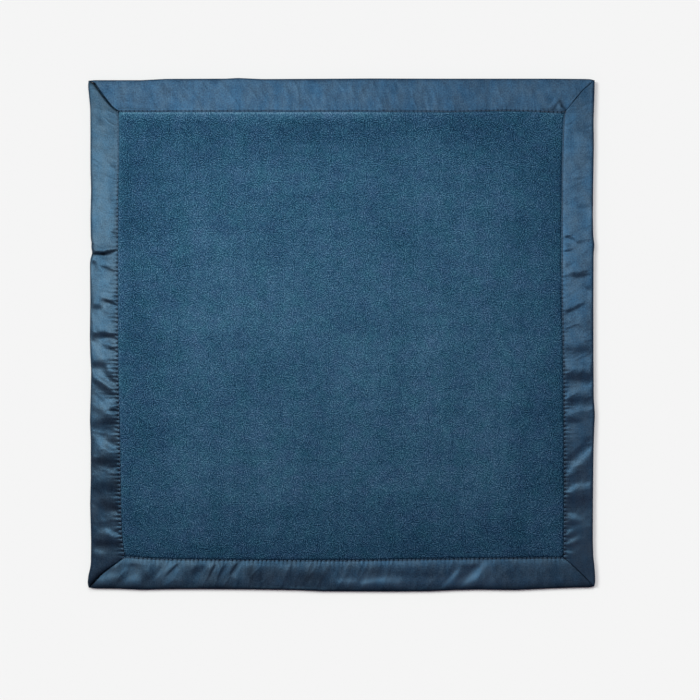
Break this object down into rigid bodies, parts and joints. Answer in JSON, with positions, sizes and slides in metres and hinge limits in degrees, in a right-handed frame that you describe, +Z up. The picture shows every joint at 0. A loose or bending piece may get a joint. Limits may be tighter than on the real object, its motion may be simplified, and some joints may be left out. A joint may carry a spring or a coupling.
{
  "type": "comfort blanket",
  "caption": "Small square comforter cloth: two fleece panels bound on all edges with folded, mitred and topstitched satin; it folds in half along its middle.",
  "frame": {"origin": "middle of the cloth, on the surface that it lies on", "axes": "+Z up out of the front face, +Y towards the top edge (the 360 mm way), +X towards the right edge, as seen from above"},
  "size_m": [0.356, 0.36, 0.005],
  "materials": {
    "fleece": "matte",
    "satin": "satin",
    "thread": "matte"
  },
  "bodies": {
    "left_half": {"front_fleece_left": "fleece", "back_fleece_left": "fleece", "binding_left": "satin", "binding_top_left": "satin", "binding_bottom_left": "satin", "needle_thread_left": "thread", "needle_thread_top_left": "thread", "needle_thread_bottom_left": "thread", "bobbin_thread_left": "thread", "bobbin_thread_top_left": "thread", "bobbin_thread_bottom_left": "thread", "mitre_seam_top_left": "thread", "mitre_seam_bottom_left": "thread"},
    "right_half": {"front_fleece_right": "fleece", "back_fleece_right": "fleece", "binding_right": "satin", "binding_top_right": "satin", "binding_bottom_right": "satin", "needle_thread_right": "thread", "needle_thread_top_right": "thread", "needle_thread_bottom_right": "thread", "bobbin_thread_right": "thread", "bobbin_thread_top_right": "thread", "bobbin_thread_bottom_right": "thread", "mitre_seam_top_right": "thread", "mitre_seam_bottom_right": "thread"}
  },
  "joints": [
    {"name": "fold_in_half", "type": "hinge", "parent": "left_half", "child": "right_half", "pos_m": [0, 0, 0.0065], "axis": [0, -1, 0], "range_deg": [0, 179]}
  ]
}
